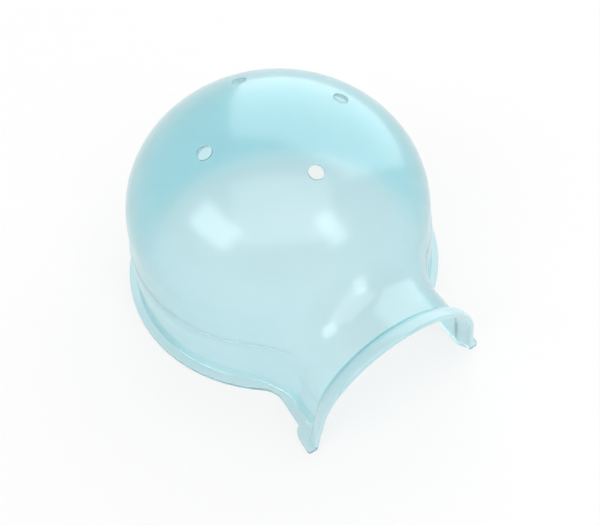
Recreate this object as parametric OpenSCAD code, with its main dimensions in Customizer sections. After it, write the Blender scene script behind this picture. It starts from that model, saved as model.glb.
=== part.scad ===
// Small animal cave: an igloo shelter in clear tinted plastic, open underneath.
// A ribless dome with four vents runs into an arched entrance tunnel. The dome is
// seated on a stepped base skirt, and a raised lip is pushed over the tunnel's end.
// Millimetres, +Z up, the entrance faces -Y, and the ground is z = 0.

/* [Dome] */
// Outside width of the dome at its widest level
dome_d = 107.4; // [96:0.2:130]
// Height from the widest level to the top of the dome
dome_rise = 44.4; // [36:0.2:56]
// Height of the widest level above the ground
dome_level = 29.3; // [27:0.1:38]
// Lean of the dome's lower wall, in degrees from upright
wall_draft = 8; // [4:0.5:11]
// Thickness of the moulded walls
wall = 1.2; // [1:0.1:2]

/* [Vents] */
// Diameter of each vent hole
vent_d = 5; // [3:0.5:9]
// Diameter of the circle that the vent holes lie on
vent_ring_d = 49.2; // [30:0.2:66]
// Number of vent holes round the top
vent_count = 4; // [2:1:8]

/* [Base skirt] */
// Height of the skirt's top edge, where the dome is seated
skirt_h = 23.5; // [16:0.5:26]
// How far the skirt's top edge stands out from the dome wall
skirt_step = 0.4; // [0.3:0.1:2]
// How far the skirt widens from its top edge to the ground
skirt_spread = 2.1; // [0.8:0.1:4]
// Width of the foot flange
flange_w = 2.6; // [1.6:0.1:4]
// Thickness of the foot flange
flange_t = 1.8; // [1.2:0.1:3]
// Radius of the flange's inside corner between skirt and tunnel
corner_r = 3.5; // [2:0.5:6]

/* [Entrance tunnel] */
// Outside radius of the tunnel's round roof
arch_r = 28.9; // [24:0.1:32]
// Height of the roof's centre above the ground
arch_level = 11.6; // [8:0.2:14]
// Lean of the tunnel's side walls, in degrees from upright
leg_lean = 10; // [4:0.5:14]
// How far the entrance stands out in front of the foot flange
tunnel_out = 15.2; // [12:0.2:30]

/* [Entrance lip] */
// Length of the lip along the tunnel
lip_len = 6; // [3.6:0.1:8]
// Height of the lip above the tunnel's outside
lip_step = 3.3; // [2:0.1:5]
// Thickness of the lip's front edge
lip_edge = 2.2; // [1.2:0.1:2.8]
// Depth of the socket that takes the tunnel's end
socket_depth = 1.5; // [1:0.1:2]
// Thickness of the stop inside the socket
stop_t = 0.8; // [0.5:0.1:1.2]
// Length of the lip's foot pads along the tunnel
pad_len = 10; // [9:0.2:14]
// How far the foot pads stand out beyond the lip
pad_w = 1.6; // [1:0.1:3]

/* [Fits] */
// Clearance between pieces that fit into each other
fit_gap = 0.1; // [0.05:0.01:0.2]
// Height of the dome's seating tongue
tongue_h = 1.5; // [1:0.1:3]

/* [Hidden] */
$fn = 96;
tint = [0.67, 0.87, 0.91];
overrun = 1;
dome_steps = 36;
arch_steps = 32;
sector_margin = 3;
corner_bite = 0.05;
shelf_fall = 5;
dome_r = dome_d / 2;
vent_cut = 8 * wall;

// Profile of the dome from its top down to where its leaning wall begins
function tangent_angle(rx, rz) = 90 - atan(tan(wall_draft) * rz / rx);
function dome_curve(inset) =
    let (rx = dome_r - inset, rz = dome_rise - inset, last = tangent_angle(rx, rz))
    [for (i = [0 : dome_steps])
        [rx * sin(last * i / dome_steps), dome_level + rz * cos(last * i / dome_steps)]];
function wall_radius(inset, z) =
    let (low = dome_curve(inset)[dome_steps])
    low.x + (low.y - z) * tan(wall_draft);

// Radii of the seat and the skirt, worked out from the dome's wall
seat_out_r = wall_radius(0, skirt_h);
seat_in_r = wall_radius(wall, skirt_h);
tongue_r = (seat_out_r + seat_in_r) / 2;
skirt_top_r = seat_out_r + skirt_step;
skirt_low_r = skirt_top_r + skirt_spread;
skirt_in_r = skirt_low_r - wall;
foot_r = skirt_low_r + flange_w;
function skirt_out_at(z) = skirt_low_r - skirt_spread * z / skirt_h;
function skirt_in_at(z) = skirt_in_r + (seat_in_r - skirt_in_r) * z / skirt_h;

// Places along the tunnel, measured forward from the dome's axis
tunnel_root = dome_r / 4;
reach = foot_r + tunnel_out;
lip_back = reach - lip_len;
tunnel_end = lip_back + socket_depth;
pad_back = reach - pad_len;
lip_r = arch_r + lip_step;
function leg_foot(r) = (r + arch_level * sin(leg_lean)) / cos(leg_lean);
tunnel_foot = leg_foot(arch_r) + flange_w;
pad_foot = leg_foot(lip_r) + pad_w;

// The flange's inside corner and the part of the ring that belongs to the shell
corner_x = tunnel_foot + corner_r;
corner_reach = sqrt(pow(foot_r + corner_r - corner_bite, 2) - pow(corner_x, 2));
sector = asin(corner_x / (foot_r + corner_r)) + sector_margin;
gap_angle = asin(fit_gap / foot_r);

// The dome's axis stands behind the middle of the whole cave
axis_y = (reach - foot_r) / 2;

// Upright outline of the tunnel: a round roof on leaning legs
module arch_outline(r) {
    span = 180 - 2 * leg_lean;
    roof = [for (i = [0 : arch_steps])
        let (a = leg_lean + span * i / arch_steps)
        [r * cos(a), arch_level + r * sin(a)]];
    polygon(concat([[-leg_foot(r), 0], [leg_foot(r), 0]], roof));
}

// A length of solid tunnel between two distances from the dome's axis
module arch_length(r, from, to) {
    translate([0, -from, 0])
        rotate([90, 0, 0])
            linear_extrude(to - from)
                arch_outline(r);
}

// Everything inside the dome and the skirt
module cave_hollow() {
    rotate_extrude()
        polygon(concat(dome_curve(wall),
            [[seat_in_r, skirt_h], [skirt_in_r, 0], [skirt_in_r, -overrun], [0, -overrun]]));
}

// Ring section of the skirt, with a rebate for the dome's tongue
module skirt_section() {
    ledge_z = skirt_h - tongue_h - fit_gap;
    polygon([
        [skirt_in_r, 0], [foot_r, 0], [foot_r, flange_t],
        [skirt_out_at(flange_t), flange_t], [skirt_top_r, skirt_h],
        [tongue_r + fit_gap / 2, skirt_h], [tongue_r + fit_gap / 2, ledge_z],
        [skirt_in_at(ledge_z), ledge_z]]);
}

// The same skirt, solid to the axis, for the length moulded on beside the tunnel.
// Its top shelf falls away a little from the dome's wall.
module skirt_block() {
    polygon([
        [0, 0], [foot_r, 0], [foot_r, flange_t],
        [skirt_out_at(flange_t), flange_t], [skirt_top_r, skirt_h],
        [0, skirt_h + skirt_top_r * tan(shelf_fall)]]);
}

// Foot flange along both sides of the tunnel, with rounded inside corners
module tunnel_flange() {
    linear_extrude(flange_t)
        difference() {
            union() {
                translate([-tunnel_foot, fit_gap - pad_back])
                    square([2 * tunnel_foot, pad_back - fit_gap]);
                polygon([[0, 0], [corner_x, -corner_reach], [-corner_x, -corner_reach]]);
            }
            for (side = [-1, 1])
                translate([side * corner_x, -corner_reach])
                    circle(corner_r);
        }
}

module vents() {
    vent_angle = asin(vent_ring_d / dome_d);
    tilt = atan2(sin(vent_angle) / dome_r, cos(vent_angle) / dome_rise);
    for (i = [0 : vent_count - 1])
        rotate([0, 0, 360 * i / vent_count - 90])
            translate([vent_ring_d / 2, 0, dome_level + dome_rise * cos(vent_angle)])
                rotate([0, tilt, 0])
                    cylinder(h = vent_cut, d = vent_d, center = true);
}

// Dome and tunnel, moulded in one, with the short length of skirt beside the tunnel
module cave_shell() {
    color(tint)
        translate([0, axis_y, 0])
            difference() {
                union() {
                    rotate_extrude()
                        polygon(concat(dome_curve(0), [[seat_out_r, skirt_h], [0, skirt_h]]));
                    translate([0, 0, skirt_h - tongue_h])
                        cylinder(h = tongue_h + overrun, r = tongue_r - fit_gap / 2);
                    rotate([0, 0, 270 - sector + gap_angle])
                        rotate_extrude(angle = 2 * (sector - gap_angle))
                            skirt_block();
                    arch_length(arch_r, tunnel_root, tunnel_end);
                    tunnel_flange();
                }
                cave_hollow();
                arch_length(arch_r - wall, tunnel_root, reach);
                vents();
            }
}

// Stepped skirt with its foot flange, from one side of the tunnel round to the other
module base_skirt() {
    color(tint)
        translate([0, axis_y, 0])
            rotate([0, 0, 270 + sector])
                rotate_extrude(angle = 360 - 2 * sector)
                    skirt_section();
}

// Raised lip with a socket for the tunnel's end, a widened mouth and two foot pads
module entrance_lip() {
    socket_r = arch_r + fit_gap;
    mouth_r = lip_r - lip_edge;
    color(tint)
        translate([0, axis_y, 0])
            difference() {
                union() {
                    arch_length(lip_r, lip_back, reach);
                    translate([-pad_foot, -reach, 0])
                        cube([2 * pad_foot, pad_len, flange_t]);
                }
                arch_length(socket_r, 0, tunnel_end);
                arch_length(arch_r - wall, 0, reach + overrun);
                arch_length(mouth_r, tunnel_end + stop_t, reach + overrun);
            }
}

cave_shell();
base_skirt();
entrance_lip();
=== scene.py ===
import math

import bmesh
import bpy
import numpy as np
from mathutils import Matrix, Vector


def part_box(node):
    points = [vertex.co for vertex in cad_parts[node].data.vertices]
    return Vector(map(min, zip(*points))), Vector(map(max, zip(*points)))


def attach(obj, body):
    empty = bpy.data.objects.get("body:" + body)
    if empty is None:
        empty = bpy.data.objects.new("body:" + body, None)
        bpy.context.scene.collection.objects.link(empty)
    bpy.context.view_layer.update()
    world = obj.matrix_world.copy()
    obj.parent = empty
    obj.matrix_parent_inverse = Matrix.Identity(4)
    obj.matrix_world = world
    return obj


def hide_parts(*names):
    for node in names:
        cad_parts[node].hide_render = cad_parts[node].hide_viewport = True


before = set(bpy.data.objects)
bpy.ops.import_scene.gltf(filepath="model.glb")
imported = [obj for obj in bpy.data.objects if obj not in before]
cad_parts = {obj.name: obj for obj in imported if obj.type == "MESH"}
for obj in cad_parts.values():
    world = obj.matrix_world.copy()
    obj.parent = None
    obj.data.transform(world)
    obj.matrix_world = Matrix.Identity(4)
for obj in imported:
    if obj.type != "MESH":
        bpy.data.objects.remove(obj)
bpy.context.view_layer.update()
mm = 0.001

# Everything is laid out in millimetres round the dome's axis, with the tunnel towards -Y,
# and moves to the frame's own origin when a mesh is written.
skirtLow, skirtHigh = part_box("base_skirt")
lipLow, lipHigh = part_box("entrance_lip")
footRadius = skirtHigh.x / mm
axisY = skirtHigh.y / mm - footRadius
seatHeight = skirtHigh.z / mm  # level where the dome is seated on the skirt
mouthReach = axisY - lipLow.y / mm  # from the axis to the entrance
skirtSector = math.acos((axisY - skirtLow.y / mm) / footRadius)  # half angle left out beside the tunnel
wallThick = 1.2
fitGap = 0.1
mergeGap = 0.004  # points nearer than this are one point
tinySlope = 1e-9  # keeps a division away from zero

# A gap is below zero inside a form and above zero outside it
dome = {
    "radius": 53.7,
    "rise": 44.4,
    "level": 29.3,  # height of its widest ring
    "draft": math.radians(8),  # lean of the lower wall
    "valley": 8.0,  # radius of the soft valley where it runs into the tunnel
    "eye": 14.0,  # height of the inside point that the profiles are traced from
    "rows": 84,
    "traceSteps": 241,
    "roofColumns": 56,
}


def domeTurn(inset):
    a = dome["radius"] - inset
    b = dome["rise"] - inset
    turn = math.atan(math.tan(dome["draft"]) * b / a)  # the round part stops at the wall's own slope
    return a, b, a * math.cos(turn), dome["level"] + b * math.sin(turn)


def domeGap(x, y, z, inset):
    a, b, lowR, lowZ = domeTurn(inset)
    r = np.hypot(x, y)
    h = z - dome["level"]
    size = np.sqrt((r / a) ** 2 + (h / b) ** 2)
    slope = np.sqrt((r / a ** 2) ** 2 + (h / b ** 2) ** 2) + tinySlope
    crown = (size - 1) * size / slope
    wall = (r - lowR - (lowZ - z) * math.tan(dome["draft"])) * math.cos(dome["draft"])
    return np.where(z > lowZ, crown, wall)


def wallRadius(inset, z):
    _, _, lowR, lowZ = domeTurn(inset)
    return lowR + (lowZ - z) * math.tan(dome["draft"])


def blendGap(a, b, radius):  # joins two forms with a soft valley
    u = np.maximum(radius - a, 0)
    v = np.maximum(radius - b, 0)
    return np.maximum(radius, np.minimum(a, b)) - np.hypot(u, v)


tunnel = {
    "radius": 28.9,
    "level": 11.6,  # height of the roof's centre
    "lean": math.radians(10),  # lean of the side walls
    "root": 15.0,  # where it starts, inside the dome
    "end": mouthReach - 4.5,  # where the lip's socket stops it
    "closeSlope": 5.0,  # how fast its gap grows behind its root
    "flankStep": 1.2,  # spacing of the mesh along it
    "bareFrom": 0.01,  # how far past the flange's end its bare leg starts
}


def behindRoot(y):  # closes the tunnel inside the dome
    return tunnel["closeSlope"] * np.maximum(0, y + tunnel["root"])


def tunnelGap(x, y, z, radius):
    across = np.abs(x)
    up = z - tunnel["level"]
    roof = np.hypot(across, up) - radius
    leg = across * math.cos(tunnel["lean"]) + up * math.sin(tunnel["lean"]) - radius
    gap = np.where(np.arctan2(up, across) > tunnel["lean"], roof, leg)
    return gap + behindRoot(y)


def legFoot(radius):
    return (radius + tunnel["level"] * math.sin(tunnel["lean"])) / math.cos(tunnel["lean"])


def legAt(radius, z):
    return legFoot(radius) - z * math.tan(tunnel["lean"])


def upperGap(x, y, z, inset):
    return blendGap(domeGap(x, y, z, inset), tunnelGap(x, y, z, tunnel["radius"] - inset),
                    dome["valley"] + inset)


skirt = {
    "step": 0.4,
    "edge": 0.12,  # what is left of the step at the very top
    "shoulder": 5.0,  # height over which the top rounds over
    "spread": 2.1,
    "flangeWidth": 2.6,
    "flangeThick": 1.8,
    "flangeFillet": 0.3,
    "flangeRound": 0.4,
    "soleRound": 0.12,
    "cornerRadius": 3.5,
    "tongueHeight": 1.5,
    "columnAngle": math.radians(1.6),
    "seamColumns": 4,  # from the skirt's end to the corner beside the tunnel
    "cornerColumns": 14,
    "wallRows": 18,
    "filletRows": 8,
    "edgeRows": 6,
}
seatOut = wallRadius(0, seatHeight)
seatIn = wallRadius(wallThick, seatHeight)
tongueRadius = (seatOut + seatIn) / 2
skirtFoot = seatOut + skirt["step"] + skirt["spread"]


def skirtOut(z):
    rise = np.clip((z - seatHeight + skirt["shoulder"]) / skirt["shoulder"], 0, 1)
    return skirtFoot - skirt["spread"] * z / seatHeight - (skirt["step"] - skirt["edge"]) * rise ** 2


def skirtIn(z):
    foot = skirtFoot - wallThick
    return foot + (seatIn - foot) * z / seatHeight


def lowerOutGap(x, y, z):
    return blendGap(np.hypot(x, y) - skirtOut(z), tunnelGap(x, y, z, tunnel["radius"]), dome["valley"])


def lowerInGap(x, y, z):
    return blendGap(np.hypot(x, y) - skirtIn(z), tunnelGap(x, y, z, tunnel["radius"] - wallThick),
                    dome["valley"] + wallThick)


def flangeGap(x, y, z):
    side = np.abs(x) - legFoot(tunnel["radius"]) - skirt["flangeWidth"] + behindRoot(y)
    return blendGap(np.hypot(x, y) - footRadius, side, skirt["cornerRadius"])


search = {
    "farthest": 140.0,  # past every wall
    "halvings": 48,
}


def reachAlong(gap, start, direction, farthest=search["farthest"]):  # where each ray leaves the solid
    near = np.zeros(len(direction))
    far = np.full(len(direction), farthest)
    for _ in range(search["halvings"]):
        mid = (near + far) / 2
        at = start + direction * mid[:, None]
        outside = gap(at[:, 0], at[:, 1], at[:, 2]) > 0
        far = np.where(outside, mid, far)
        near = np.where(outside, near, mid)
    return start + direction * ((near + far) / 2)[:, None]


# Foot pads of the lip start where the tunnel's own flange stops
lip = {
    "back": mouthReach - 6.0,
    "crest": 32.0,  # outside radius of its raised band
    "rise": 3.4,  # how steeply the band comes up from the tunnel
    "mouth": 29.9,  # radius of its inside edge at the entrance
    "outerRound": 0.9,
    "innerRound": 1.0,
    "toe": 0.02,  # keeps its root just over the tunnel's own facets
    "padLength": 10.0,
    "padReach": lipHigh.x / mm,
    "padFrontRound": (1.0, 1.0),  # along the tunnel and across it
    "padBackRound": (4.5, 2.3),
    "legRows": 14,
    "roofRows": 72,
    "bandPoints": 24,
    "throatPoints": 12,
    "frontPoints": 4,
    "roundPoints": 8,
}
flangeEnd = mouthReach - lip["padLength"]

# Upright planes that the mesh's columns lie in, from the back round to the entrance's right side:
# fans about the axis, then about the corner beside the tunnel, then straight across the tunnel.
cornerX = legFoot(tunnel["radius"]) + skirt["flangeWidth"] + skirt["cornerRadius"]
cornerY = -math.sqrt((footRadius + skirt["cornerRadius"]) ** 2 - cornerX ** 2)
cornerAngle = math.atan2(cornerX, -cornerY)


def halfColumns():
    columns = []
    backCount = round((math.pi - skirtSector) / skirt["columnAngle"])
    for angle in np.linspace(math.pi, skirtSector, backCount + 1):
        columns.append(("skirt", 0.0, math.sin(angle), -math.cos(angle)))
    for angle in np.linspace(skirtSector, cornerAngle, skirt["seamColumns"]):
        columns.append(("side", 0.0, math.sin(angle), -math.cos(angle)))
    for angle in np.linspace(cornerAngle, math.pi / 2, skirt["cornerColumns"] + 1)[1:]:
        dx, dy = math.sin(angle), -math.cos(angle)
        columns.append(("side", cornerY - cornerX * dy / dx, dx, dy))
    flangeCount = round((flangeEnd + cornerY) / tunnel["flankStep"])
    for y in np.linspace(-cornerY, flangeEnd, flangeCount + 1)[1:]:
        columns.append(("side", -y, 1.0, 0.0))
    endCount = round((lip["back"] - flangeEnd) / tunnel["flankStep"])
    for y in np.linspace(flangeEnd + tunnel["bareFrom"], lip["back"], endCount + 1):
        columns.append(("bare", -y, 1.0, 0.0))
    columns.append(("bare", -tunnel["end"], 1.0, 0.0))
    return columns


rightColumns = halfColumns()
kinds = [c[0] for c in rightColumns]
starts = np.array([[0.0, c[1]] for c in rightColumns])
heads = np.array([[c[2], c[3]] for c in rightColumns])


def ringAt(gap, z):
    start = np.column_stack([starts, np.full(len(starts), z)])
    head = np.column_stack([heads, np.zeros(len(heads))])
    return reachAlong(gap, start, head)


def archEdge(radius, y, count):
    low = math.asin((seatHeight - tunnel["level"]) / radius)
    angle = np.linspace(low, math.pi - low, count + 1)
    return np.column_stack([radius * np.cos(angle), np.full(count + 1, y),
                            tunnel["level"] + radius * np.sin(angle)])


def upperSheet(inset):
    side = ringAt(lambda x, y, z: upperGap(x, y, z, inset), seatHeight)
    arch = archEdge(tunnel["radius"] - inset, -tunnel["end"], dome["roofColumns"])
    mirrored = side[::-1] * np.array([-1, 1, 1])
    edge = np.vstack([side, arch[1:-1], mirrored[:-1]])  # from the back, past the entrance, to the back
    azimuth = np.arctan2(edge[:, 0], -edge[:, 1])
    azimuth[len(side) + len(arch) - 2:] %= 2 * math.pi
    lowest = np.arctan2(edge[:, 2] - dome["eye"], np.hypot(edge[:, 0], edge[:, 1]))
    head = np.column_stack([np.sin(azimuth), -np.cos(azimuth)])
    eye = np.array([0, 0, dome["eye"]])

    def trace(angles):
        flat = np.cos(angles)
        direction = np.stack([head[:, None, 0] * flat, head[:, None, 1] * flat, np.sin(angles)], -1)
        found = reachAlong(lambda x, y, z: upperGap(x, y, z, inset), eye, direction.reshape(-1, 3))
        return found.reshape(direction.shape)

    share = np.linspace(0, 1, dome["traceSteps"])
    angles = math.pi / 2 + (lowest[:, None] - math.pi / 2) * share
    length = np.zeros(angles.shape)
    length[:, 1:] = np.cumsum(np.linalg.norm(np.diff(trace(angles), axis=1), axis=2), axis=1)
    even = np.linspace(0, 1, dome["rows"] + 1)[1:]
    angles = np.array([np.interp(even * run[-1], run, row) for run, row in zip(length, angles)])
    grid = trace(angles)
    grid[:, -1] = edge
    top = np.array([0, 0, dome["level"] + dome["rise"] - inset])
    return grid, top, len(side), len(arch)


def footRows():  # how far out and how high each row of a filleted flange lies
    fillet, thick, edgeRound = skirt["flangeFillet"], skirt["flangeThick"], skirt["flangeRound"]
    rows = []
    for turn in np.linspace(0, math.pi / 2, skirt["filletRows"]):
        rows.append(("wall", fillet * (1 - math.cos(turn)), thick + fillet * (1 - math.sin(turn))))
    for turn in np.linspace(0, math.pi / 2, skirt["edgeRows"]):
        drop = edgeRound * (1 - math.cos(turn))
        rows.append(("edge", edgeRound * (1 - math.sin(turn)), thick - drop))
    rows.append(("edge", 0.0, skirt["soleRound"]))
    rows.append(("edge", skirt["soleRound"], 0.0))
    return rows


filletTop = skirt["flangeThick"] + skirt["flangeFillet"]
wallLevels = np.linspace(seatHeight, filletTop, skirt["wallRows"] + 1)[:-1]


def lowerOutline(index):
    kind, startY, dx, dy = rightColumns[index]
    head = np.array([dx, dy, 0])

    def at(gap, z):
        return reachAlong(gap, np.array([[0.0, startY, z]]), head[None])[0]

    points = [at(lowerOutGap, z) for z in wallLevels]
    if kind == "bare":
        return np.array(points + [at(lowerOutGap, z) for _, _, z in footRows()])
    wall = at(lowerOutGap, filletTop)
    edge = at(flangeGap, 0)
    for side, away, z in footRows():
        flat = wall + head * away if side == "wall" else edge - head * away
        points.append(np.array([flat[0], flat[1], z]))
    return np.array(points)


def lowerInline(index):
    _, startY, dx, dy = rightColumns[index]
    levels = np.linspace(0, seatHeight, skirt["wallRows"] + 1)
    start = np.column_stack([np.zeros(len(levels)), np.full(len(levels), startY), levels])
    return reachAlong(lowerInGap, start, np.tile([dx, dy, 0], (len(levels), 1)))


# Material slots of a mesh: its own plastic, faces welded to another piece, and the other plastic
ownSlot, weldSlot, otherSlot = 0, 1, 2


class Sheets:  # a mesh that grows by rows of points and strips of faces
    def __init__(self):
        self.mesh = bmesh.new()

    def verts(self, points):
        return [self.mesh.verts.new(Vector(p)) for p in points]

    def face(self, corners, material=ownSlot):
        made = self.mesh.faces.new(corners)
        made.material_index = material
        made.smooth = True
        return made

    def strip(self, rowA, rowB, material=ownSlot, closed=False):
        count = len(rowA)
        made = []
        for i in range(count if closed else count - 1):
            j = (i + 1) % count
            made.append(self.face([rowA[i], rowA[j], rowB[j], rowB[i]], material))
        return made

    def grid(self, rows, material=ownSlot, closed=False):
        for a, b in zip(rows, rows[1:]):
            self.strip(a, b, material, closed)

    def weldBeyond(self, y):  # cuts the sheet across the tunnel and marks what lies inside the lip
        everything = list(self.mesh.verts) + list(self.mesh.edges) + list(self.mesh.faces)
        bmesh.ops.bisect_plane(self.mesh, geom=everything, plane_co=(0, y, 0), plane_no=(0, 1, 0),
                               dist=mergeGap)
        for f in self.mesh.faces:
            f.material_index = weldSlot if f.calc_center_median().y < y else ownSlot


creaseAngle = math.radians(32)


def finishMesh(sheets, name, materials):
    bm = sheets.mesh
    bmesh.ops.remove_doubles(bm, verts=bm.verts, dist=mergeGap)
    bmesh.ops.dissolve_degenerate(bm, edges=bm.edges, dist=mergeGap)
    bmesh.ops.recalc_face_normals(bm, faces=bm.faces)
    for v in bm.verts:
        v.co = Vector((v.co.x * mm, (v.co.y + axisY) * mm, v.co.z * mm))
    openEdges = sum(1 for e in bm.edges if not e.is_manifold)
    data = bpy.data.meshes.new(name)
    bm.to_mesh(data)
    print(name, "faces", len(bm.faces), "open edges", openEdges)
    bm.free()
    data.set_sharp_from_angle(angle=creaseAngle)
    for material in materials:
        data.materials.append(material)
    piece = bpy.data.objects.new(name, data)
    bpy.context.scene.collection.objects.link(piece)
    return piece


vents = {
    "count": 4,
    "radius": 2.5,
    "ringRadius": 24.6,
    "rimRound": 0.2,
    "patchRadius": 3.6,  # outer ring of the round patch of mesh about a vent
    "clearRadius": 4.3,  # faces of the dome nearer than this make room for the patch
    "probe": 8.0,  # how far in front of and behind the dome's surface a vent reaches
    "sides": 56,
    "rimRows": 6,
}


def ventFrames():
    turn = math.asin(vents["ringRadius"] / dome["radius"])
    tilt = math.atan2(math.sin(turn) / dome["radius"], math.cos(turn) / dome["rise"])
    for i in range(vents["count"]):
        around = 2 * math.pi * i / vents["count"] - math.pi / 2
        out = np.array([math.cos(around), math.sin(around), 0])
        across = np.array([-math.sin(around), math.cos(around), 0])
        up = np.array([0, 0, 1])
        point = out * vents["ringRadius"] + up * (dome["level"] + dome["rise"] * math.cos(turn))
        normal = out * math.sin(tilt) + up * math.cos(tilt)
        yield point, normal, across, np.cross(normal, across)


def cutVent(sheets, faces, point, normal, sideA, sideB, inset):
    gone = []
    for f in faces:
        if not f.is_valid:
            continue
        away = np.array(f.calc_center_median()) - point
        along = away @ normal
        if abs(along) < vents["probe"] and np.linalg.norm(away - normal * along) < vents["clearRadius"]:
            gone.append(f)
    goneSet = set(gone)
    edges = {e for f in gone for e in f.edges}
    outer = [e for e in edges if sum(1 for f in e.link_faces if f in goneSet) == 1]
    bmesh.ops.delete(sheets.mesh, geom=gone, context="FACES")
    turns = np.linspace(0, 2 * math.pi, vents["sides"], endpoint=False)
    spokes = np.cos(turns)[:, None] * sideA + np.sin(turns)[:, None] * sideB

    def onSurface(radius):
        base = point - normal * vents["probe"] + spokes * radius
        return reachAlong(lambda x, y, z: domeGap(x, y, z, inset), base,
                          np.tile(normal, (len(base), 1)), 2 * vents["probe"])

    sign = -1 if inset == 0 else 1  # the rim turns in from the outside and out from the inside
    rings = [onSurface(vents["patchRadius"]), onSurface(vents["radius"] + 2 * vents["rimRound"])]
    for turn in np.linspace(0, math.pi / 2, vents["rimRows"]):
        radius = vents["radius"] + vents["rimRound"] * (1 - math.sin(turn))
        rings.append(onSurface(radius) + normal * sign * vents["rimRound"] * (1 - math.cos(turn)))
    rows = [sheets.verts(ring) for ring in rings]
    sheets.grid(rows, closed=True)
    ringEdges = [sheets.mesh.edges.get((a, b)) for a, b in zip(rows[0], rows[0][1:] + rows[0][:1])]
    made = bmesh.ops.bridge_loops(sheets.mesh, edges=outer + ringEdges)
    for f in made["faces"]:
        f.smooth = True
    return rows[-1]


def buildCaveShell(materials):
    sheets = Sheets()
    ventRows = []
    edges = []
    for inset in (0, wallThick):
        grid, top, sideCount, archCount = upperSheet(inset)
        columns = [sheets.verts(column) for column in grid]
        pole = sheets.verts([top])[0]
        before = set(sheets.mesh.faces)
        for a, b in zip(columns, columns[1:] + columns[:1]):
            sheets.face([pole, a[0], b[0]])
            sheets.strip(a, b)
        if inset == 0:
            sheets.weldBeyond(-lip["back"])
        faces = [f for f in sheets.mesh.faces if f not in before]
        ventRows.append([cutVent(sheets, faces, *ventFrame, inset) for ventFrame in ventFrames()])
        edges.append([column[-1] for column in columns])
    for rowA, rowB in zip(*ventRows):
        sheets.strip(rowA, rowB, otherSlot, True)
    outer, inner = edges
    total = len(outer)
    first = kinds.index("side")
    for i in range(sideCount - 1, sideCount + archCount - 2):  # the tunnel's end face, over the roof
        sheets.face([outer[i], outer[i + 1], inner[i + 1], inner[i]], weldSlot)
    for mirror in (1, -1):
        def flip(points):
            return [Vector((p[0] * mirror, p[1], p[2])) for p in points]

        def pick(k):
            return k if mirror == 1 else (total - k) % total

        rows = [sheets.verts(flip(lowerOutline(k))) for k in range(first, sideCount)]
        inRows = [sheets.verts(flip(lowerInline(k))) for k in range(first, sideCount)]
        flangeLast = kinds.index("bare") - first
        sheets.grid(rows[:flangeLast])
        sheets.strip(rows[flangeLast - 1], rows[flangeLast], weldSlot)  # against the lip's pad
        for a, b in zip(rows[flangeLast:-1], rows[flangeLast + 1:-1]):
            for f in sheets.strip(a, b):
                if f.calc_center_median().z < skirt["flangeThick"]:  # behind the pad
                    f.material_index = weldSlot
        sheets.strip(rows[-2], rows[-1], weldSlot)  # inside the lip's socket
        sheets.grid(inRows)
        for k in range(first, sideCount - 1):
            a, b = k - first, k - first + 1
            sheets.face([outer[pick(k)], outer[pick(k + 1)], rows[b][0], rows[a][0]])  # shelf
            sheets.face([rows[a][-1], rows[b][-1], inRows[b][0], inRows[a][0]])  # underside
            sheets.face([inRows[a][-1], inRows[b][-1], inner[pick(k + 1)], inner[pick(k)]])
        sheets.face(rows[-1] + inRows[-1], weldSlot)  # the tunnel's end face, beside the legs
        tongue = []
        low = seatHeight - skirt["tongueHeight"]
        tongueOut = tongueRadius - fitGap / 2
        for k in range(first):
            _, _, dx, dy = rightColumns[k]
            section = [(tongueOut, seatHeight), (tongueOut, low), (skirtIn(low), low)]
            tongue.append(sheets.verts(flip([(dx * r, dy * r, z) for r, z in section])))
        for k in range(first - 1):
            a, b = tongue[k], tongue[k + 1]
            sheets.face([outer[pick(k)], outer[pick(k + 1)], b[0], a[0]], weldSlot)
            sheets.face([a[0], b[0], b[1], a[1]], weldSlot)
            sheets.face([a[1], b[1], b[2], a[2]], weldSlot)
            sheets.face([a[2], b[2], inner[pick(k + 1)], inner[pick(k)]])
        last = tongue[-1]
        sheets.face([outer[pick(first)]] + rows[0] + inRows[0] + last[::-1], weldSlot)
    return finishMesh(sheets, "caveShell", materials)


def buildBaseSkirt(materials):
    sheets = Sheets()
    low = seatHeight - skirt["tongueHeight"] - fitGap
    rebate = tongueRadius + fitGap / 2
    seat = [(skirtIn(low), low), (rebate, low), (rebate, seatHeight), (seatOut, seatHeight)]
    weldEnd = len(seat) - 1
    right = []
    for k in range(kinds.index("side")):
        _, _, dx, dy = rightColumns[k]
        inner = [p for p in lowerInline(k) if p[2] < low]
        right.append([(dx * r, dy * r, z) for r, z in seat] + list(lowerOutline(k)) + inner)
    left = [[(-x, y, z) for x, y, z in points] for points in right[1:]]
    columns = [sheets.verts(points) for points in right[::-1] + left]
    count = len(columns[0])
    for a, b in zip(columns, columns[1:]):
        for i in range(count):
            j = (i + 1) % count
            sheets.face([a[i], a[j], b[j], b[i]], weldSlot if i < weldEnd else ownSlot)
    sheets.face(columns[0], weldSlot)
    sheets.face(columns[-1], weldSlot)
    return finishMesh(sheets, "baseSkirt", materials)


def arcPoints(s, n, along, across, turnFrom, count):  # a quarter turn of a rounded corner
    turns = np.linspace(turnFrom, turnFrom + math.pi / 2, count + 1)
    return [(s + along * math.cos(turn), n + across * math.sin(turn)) for turn in turns]


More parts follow.
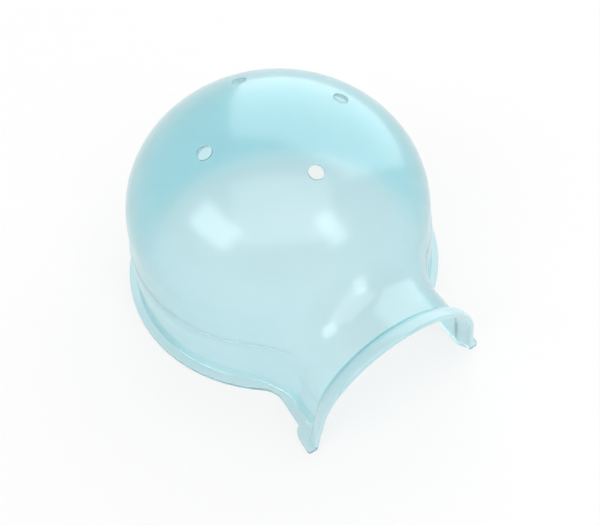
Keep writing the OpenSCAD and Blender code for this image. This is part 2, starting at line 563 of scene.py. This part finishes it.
def lipSection():  # closed outline of the raised rim: distance from the axis, radius of its arch
    inR = tunnel["radius"] - wallThick
    root = tunnel["radius"] + lip["toe"]
    inner, outer = lip["innerRound"], lip["outerRound"]
    inside = []
    for share in np.linspace(0, 1, lip["throatPoints"] + 1)[:-1]:
        ease = share * share * (3 - 2 * share)  # level at both ends
        inside.append((tunnel["end"] + (mouthReach - inner - tunnel["end"]) * share,
                       inR + (lip["mouth"] - inR) * ease))
    inside += arcPoints(mouthReach - inner, lip["mouth"] + inner, inner, inner, -math.pi / 2,
                        lip["roundPoints"])[:-1]
    outside = [(mouthReach, n) for n in np.linspace(lip["mouth"] + inner, lip["crest"] - outer,
                                                    lip["frontPoints"] + 1)[:-1]]
    outside += arcPoints(mouthReach - outer, lip["crest"] - outer, outer, outer, 0, lip["roundPoints"])
    for share in np.linspace(1, 0, lip["bandPoints"] + 1)[1:]:
        outside.append((lip["back"] + (mouthReach - outer - lip["back"]) * share,
                        root + (lip["crest"] - root) * (1 - (1 - share) ** lip["rise"])))
    return inside, outside, [(lip["back"], tunnel["radius"]), (tunnel["end"], tunnel["radius"])]


def padOutline(count):  # plan of a foot pad from the lip's front edge round to the tunnel's wall
    path = [(mouthReach, legFoot(lip["mouth"] + lip["innerRound"]))]
    frontAlong, frontAcross = lip["padFrontRound"]
    path += arcPoints(mouthReach - frontAlong, lip["padReach"] - frontAcross, frontAlong, frontAcross,
                      0, lip["roundPoints"])
    backAlong, backAcross = lip["padBackRound"]
    path += arcPoints(flangeEnd + backAlong, lip["padReach"] - backAcross, backAlong, backAcross,
                      math.pi / 2, lip["roundPoints"])
    path.append((flangeEnd, legFoot(tunnel["radius"])))
    path = np.array(path)
    run = np.concatenate([[0], np.cumsum(np.linalg.norm(np.diff(path, axis=0), axis=1))])
    even = np.linspace(0, run[-1], count)
    return np.column_stack([np.interp(even, run, path[:, 0]), np.interp(even, run, path[:, 1])])


def buildEntranceLip(materials):
    sheets = Sheets()
    inside, outside, socket = lipSection()
    section = inside + outside + socket
    spreadFrom, spreadTo = len(inside), len(section) - 1  # the points that spread out into the pads
    weldFrom = len(inside) + len(outside)
    target = padOutline(spreadTo - spreadFrom)
    lean = tunnel["lean"]

    def legRow(z):
        return [(legAt(n, z), -s, z) for s, n in section]

    def padRow(side, away, z):
        row = legRow(z)
        for i in range(spreadFrom, spreadTo):
            s, n = section[i]
            here = np.array([s, legAt(n, z)])
            step = target[i - spreadFrom] - here
            width = max(np.linalg.norm(step), mergeGap)
            limit = min(away, width / 2)
            if side == "edge" and target[i - spreadFrom][0] < flangeEnd + mergeGap:
                limit = 0  # the pad's back edge stays square against the flange
            share = limit / width if side == "wall" else 1 - limit / width
            at = here + step * share
            row[i] = (legAt(tunnel["radius"], z) if i == spreadTo - 1 else at[1], -at[0], z)
        return row

    half = [padRow(*foot) for foot in reversed(footRows())]
    turnZ = [tunnel["level"] + n * math.sin(lean) for s, n in section]
    for share in np.linspace(0, 1, lip["legRows"] + 1)[1:-1]:
        levels = [filletTop + (t - filletTop) * share for t in turnZ]
        half.append([(legAt(n, z), -s, z) for (s, n), z in zip(section, levels)])
    roof = []
    for angle in np.linspace(lean, math.pi - lean, lip["roofRows"] + 1):
        out, up = math.cos(angle), math.sin(angle)
        roof.append([(n * out, -s, tunnel["level"] + n * up) for s, n in section])
    other = [[(-x, y, z) for x, y, z in row] for row in reversed(half)]
    rows = [sheets.verts(row) for row in half + roof + other]
    count = len(section)
    for a, b in zip(rows, rows[1:]):
        for i in range(count):
            j = (i + 1) % count
            corners = [a[i], a[j], b[j], b[i]]
            onPad = all(v.co.z < filletTop + mergeGap for v in corners)
            againstFlange = all(abs(v.co.y + flangeEnd) < mergeGap for v in corners)
            slot = otherSlot if onPad else ownSlot
            if i >= weldFrom - 1 or againstFlange:  # the socket's faces come last in the section
                slot = weldSlot
            sheets.face(corners, slot)
    sheets.face(rows[0], otherSlot)
    sheets.face(rows[-1], otherSlot)
    return finishMesh(sheets, "entranceLip", materials)


def toLinear(code):  # an sRGB hex code as linear light
    values = [int(code[i:i + 2], 16) / 255 for i in (1, 3, 5)]
    return [v / 12.92 if v <= 0.04045 else ((v + 0.055) / 1.055) ** 2.4 for v in values] + [1.0]


def addNode(tree, kind, settings=None, links=None):
    node = tree.nodes.new(kind)
    for key, value in (settings or {}).items():
        if isinstance(key, int) or key in node.inputs:
            node.inputs[key].default_value = value
        else:
            setattr(node, key, value)
    for key, source in (links or {}).items():
        tree.links.new(source, node.inputs[key])
    return node


def newMaterial(name):
    material = bpy.data.materials.new(name)
    material.use_nodes = True
    material.node_tree.nodes.clear()
    return material, material.node_tree


# Sockets of a colour mix: its share, its two colours and its result
mixShare, mixFrom, mixTo, mixOut = 0, 6, 7, 2

# Clear polypropylene with a pale cyan dye, moulded against polished steel: what is behind a wall shows
# through it, a little softened, each wall deepens the tint, most of all where the eye skims along it,
# and the skin has a soft gloss with faint clouds where the melt flowed.
plasticLook = {
    "tint": "#D7F3F8",
    "flowTint": "#D0F1F6",  # in the clouds of the flow
    "flowSize": 16.0,  # mm
    "flowDetail": 2.0,
    "slantTint": "#B8F2F9",  # on slanting walls, through more of the plastic
    "edgeTint": "#5CE4F3",  # where the eye only just skims a wall
    "edgePower": 4.0,  # how close to the outline that stays
    "creaseShadeTint": "#62C9D6",  # painted shade along the crease at the lip's root
    "creaseShadeWidth": 0.9,  # mm, half width of the painted shade band
    "creaseShadeFade": (2.0, 9.0),  # mm above the ground, between none of the painted shade and all of it
    "roughness": (0.18, 0.24),  # between the clearest and the haziest skin
    "hazeSize": 5.0,  # mm
    "hazeDetail": 4.0,
    "rippleSize": 7.0,  # mm, sink marks, drawn a little coarser than real ones so that they show
    "rippleDetail": 1.0,
    "rippleDepth": 0.02,  # mm
    "ior": 1.49,
    "clearness": 1.0,
    "coat": 0.4,
    "coatRoughness": 0.12,
}
# The lip is thick, so it cooled slowly and turned hazy, and the vents' inside walls are matt from the
# mould's pins. Both scatter light: they look milky, and their tint is the same at every slant.
milkyLook = dict(
    plasticLook, tint="#D5F8FD", flowTint="#CDF5FB", slantTint=None, creaseShadeWidth=1.6, clearness=0.25)


def mouldedPolypropylene(name, look):
    material, tree = newMaterial(name)
    place = addNode(tree, "ShaderNodeTexCoord").outputs["Object"]

    def noise(size, detail):  # one cell of the pattern is as wide as its size in mm
        return addNode(tree, "ShaderNodeTexNoise", {"Scale": 1 / (size * mm), "Detail": detail}, {
            "Vector": place}).outputs["Fac"]

    flow = addNode(tree, "ShaderNodeMix", {
        "data_type": "RGBA", mixFrom: toLinear(look["tint"]), mixTo: toLinear(look["flowTint"])}, {
        mixShare: noise(look["flowSize"], look["flowDetail"])})
    tinted = flow
    if look["slantTint"]:
        facing = addNode(tree, "ShaderNodeLayerWeight").outputs["Facing"]
        along = addNode(tree, "ShaderNodeMix", {
            "data_type": "RGBA", mixTo: toLinear(look["slantTint"])}, {
            mixShare: facing, mixFrom: flow.outputs[mixOut]})
        skim = addNode(tree, "ShaderNodeMath", {"operation": "POWER", 1: look["edgePower"]}, {0: facing})
        tinted = addNode(tree, "ShaderNodeMix", {
            "data_type": "RGBA", mixTo: toLinear(look["edgeTint"])}, {
            mixShare: skim.outputs[0], mixFrom: along.outputs[mixOut]})
    # Painted shade: a darker band along the crease where the lip rises from the tunnel, none of it near
    # the ground
    spot = addNode(tree, "ShaderNodeSeparateXYZ", {}, {0: place})
    rootY = (axisY - lip["back"]) * mm
    away = addNode(tree, "ShaderNodeMath", {"operation": "SUBTRACT", 1: rootY}, {0: spot.outputs["Y"]})
    near = addNode(tree, "ShaderNodeMath", {"operation": "ABSOLUTE"}, {0: away.outputs[0]})
    root = addNode(tree, "ShaderNodeMapRange", {
        "interpolation_type": "SMOOTHSTEP", "From Min": look["creaseShadeWidth"] * mm, "From Max": 0.0}, {
        "Value": near.outputs[0]})
    fadeLow, fadeHigh = look["creaseShadeFade"]
    rise = addNode(tree, "ShaderNodeMapRange", {"From Min": fadeLow * mm, "From Max": fadeHigh * mm}, {
        "Value": spot.outputs["Z"]})
    creaseShadeShare = addNode(tree, "ShaderNodeMath", {"operation": "MULTIPLY"}, {
        0: root.outputs["Result"], 1: rise.outputs["Result"]})
    colour = addNode(tree, "ShaderNodeMix", {"data_type": "RGBA", mixTo: toLinear(look["creaseShadeTint"])}, {
        mixShare: creaseShadeShare.outputs[0], mixFrom: tinted.outputs[mixOut]})
    low, high = look["roughness"]
    haze = addNode(tree, "ShaderNodeMapRange", {"To Min": low, "To Max": high}, {
        "Value": noise(look["hazeSize"], look["hazeDetail"])})
    ripple = addNode(tree, "ShaderNodeBump", {"Strength": 1.0, "Distance": look["rippleDepth"] * mm}, {
        "Height": noise(look["rippleSize"], look["rippleDetail"])})
    shader = addNode(tree, "ShaderNodeBsdfPrincipled", {
        "IOR": look["ior"], "Transmission Weight": look["clearness"], "Coat Weight": look["coat"],
        "Coat Roughness": look["coatRoughness"], "Coat IOR": look["ior"]}, {
        "Base Color": colour.outputs[mixOut], "Roughness": haze.outputs["Result"],
        "Normal": ripple.outputs["Normal"]})
    addNode(tree, "ShaderNodeOutputMaterial", {}, {"Surface": shader.outputs["BSDF"]})
    return material


def weldedFace():  # faces that lie against another piece, where the plastic runs on without a break
    material, tree = newMaterial("weldedFace")
    shader = addNode(tree, "ShaderNodeBsdfPrincipled", {"Alpha": 0.0})
    addNode(tree, "ShaderNodeOutputMaterial", {}, {"Surface": shader.outputs["BSDF"]})
    return material


plastic = mouldedPolypropylene("mouldedPolypropylene", plasticLook)
milky = mouldedPolypropylene("milkyPolypropylene", milkyLook)
weld = weldedFace()
pieces = {
    "cave_shell": buildCaveShell([plastic, weld, milky]),
    "base_skirt": buildBaseSkirt([plastic, weld]),
    "entrance_lip": buildEntranceLip([milky, weld, plastic]),
}
for node, piece in pieces.items():
    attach(piece, "root")
    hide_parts(node)
print("pieces made")

studio = {
    "floorColour": "#FAFAFA",
    "floorGlow": 0.76,  # share of plain white in what the eye sees of the floor
    "floorHalf": 3.0,
    "floorDrop": 0.0002,  # keeps it clear of the cave's underside
    "sky": (0.9, 0.1),  # brightness of the studio's pale walls and of its dim ceiling
    "lamps": {
        "rightPanel": {"place": (0.92, 0.69, 0.8), "size": (2.4, 1.9), "radiance": 1.3},
        "overhead": {"place": (-0.23, -0.4, 1.0), "size": (1.3, 1.0), "radiance": 1.0},
        "leftSoftbox": {"place": (-1.0, -0.02, 0.75), "size": (0.7, 0.45), "radiance": 2.5},
        "frontStrip": {"place": (0.25, -0.95, 0.85), "size": (0.3, 0.6), "radiance": 2.5},
    },
}


def paleFloor():  # matt white paper, seen as nearly plain white with a faint shadow on it
    material, tree = newMaterial("paleFloor")
    path = addNode(tree, "ShaderNodeLightPath")
    paint = addNode(tree, "ShaderNodeBsdfDiffuse", {"Color": toLinear(studio["floorColour"])})
    glow = addNode(tree, "ShaderNodeEmission", {"Strength": 1.0})
    either = addNode(tree, "ShaderNodeMath", {"operation": "MAXIMUM"}, {
        0: path.outputs["Is Camera Ray"], 1: path.outputs["Is Glossy Ray"]})
    seen = addNode(tree, "ShaderNodeMath", {"operation": "MAXIMUM"}, {
        0: either.outputs[0], 1: path.outputs["Is Transmission Ray"]})
    share = addNode(tree, "ShaderNodeMath", {"operation": "MULTIPLY", 1: studio["floorGlow"]}, {
        0: seen.outputs[0]})
    mix = addNode(tree, "ShaderNodeMixShader", {}, {
        0: share.outputs[0], 1: paint.outputs[0], 2: glow.outputs[0]})
    addNode(tree, "ShaderNodeOutputMaterial", {}, {"Surface": mix.outputs[0]})
    return material


floorMesh = bpy.data.meshes.new("floor")
half = studio["floorHalf"]
floorCorners = [(-half, -half, 0), (half, -half, 0), (half, half, 0), (-half, half, 0)]
floorMesh.from_pydata(floorCorners, [], [(0, 1, 2, 3)])
floorMesh.materials.append(paleFloor())
floor = bpy.data.objects.new("floor", floorMesh)
floor.location.z = -studio["floorDrop"]
bpy.context.scene.collection.objects.link(floor)

world = bpy.data.worlds.new("studio")
world.use_nodes = True
sky = world.node_tree.nodes["Background"]
sky.inputs["Color"].default_value = (1, 1, 1, 1)
skyPlace = addNode(world.node_tree, "ShaderNodeTexCoord")
skyParts = addNode(world.node_tree, "ShaderNodeSeparateXYZ", {}, {0: skyPlace.outputs["Generated"]})
skyFall = addNode(world.node_tree, "ShaderNodeMapRange", {
    "To Min": studio["sky"][0], "To Max": studio["sky"][1]}, {"Value": skyParts.outputs["Z"]})
world.node_tree.links.new(skyFall.outputs["Result"], sky.inputs["Strength"])
bpy.context.scene.world = world

for name, lamp in studio["lamps"].items():
    light = bpy.data.lights.new(name, "AREA")
    light.shape = "RECTANGLE"
    light.size, light.size_y = lamp["size"]
    light.energy = lamp["radiance"] * math.pi * lamp["size"][0] * lamp["size"][1]
    lampObject = bpy.data.objects.new(name, light)
    lampObject.location = lamp["place"]
    lampObject.rotation_euler = (-Vector(lamp["place"])).to_track_quat("-Z", "Y").to_euler()
    bpy.context.scene.collection.objects.link(lampObject)
print("stage lit")

bounces = {  # light crosses many walls of clear plastic
    "max_bounces": 32,
    "transmission_bounces": 32,
    "glossy_bounces": 16,
    "transparent_max_bounces": 24,
}
for setting, count in bounces.items():
    setattr(bpy.context.scene.cycles, setting, count)

camera = {  # fitted to the photograph
    "place": (-0.06996, -0.13929, 0.21733),
    "right": (0.79652158, -0.59770597, 0.09110951),
    "up": (0.43241805, 0.6684892, 0.6050924),
    "focalPixels": 664.49,
    "imageWidth": 600,
    "imageHeight": 525,
    "axisPixel": (418.66, 244.48),  # where the lens's axis meets the picture
    "sensorWidth": 36,
    "nearClip": 0.01,
}
lens = bpy.data.cameras.new("camera")
lens.sensor_width = camera["sensorWidth"]
lens.lens = camera["focalPixels"] * camera["sensorWidth"] / camera["imageWidth"]
lens.shift_x = (camera["imageWidth"] / 2 - camera["axisPixel"][0]) / camera["imageWidth"]
lens.shift_y = (camera["axisPixel"][1] - camera["imageHeight"] / 2) / camera["imageWidth"]
lens.clip_start = camera["nearClip"]
right, up = Vector(camera["right"]).normalized(), Vector(camera["up"]).normalized()
view = bpy.data.objects.new("camera", lens)
turn = Matrix((right, up, right.cross(up))).transposed().to_4x4()
view.matrix_world = Matrix.Translation(camera["place"]) @ turn
bpy.context.scene.collection.objects.link(view)
bpy.context.scene.camera = view
bpy.context.scene.view_settings.view_transform = "Standard"
print("camera placed")
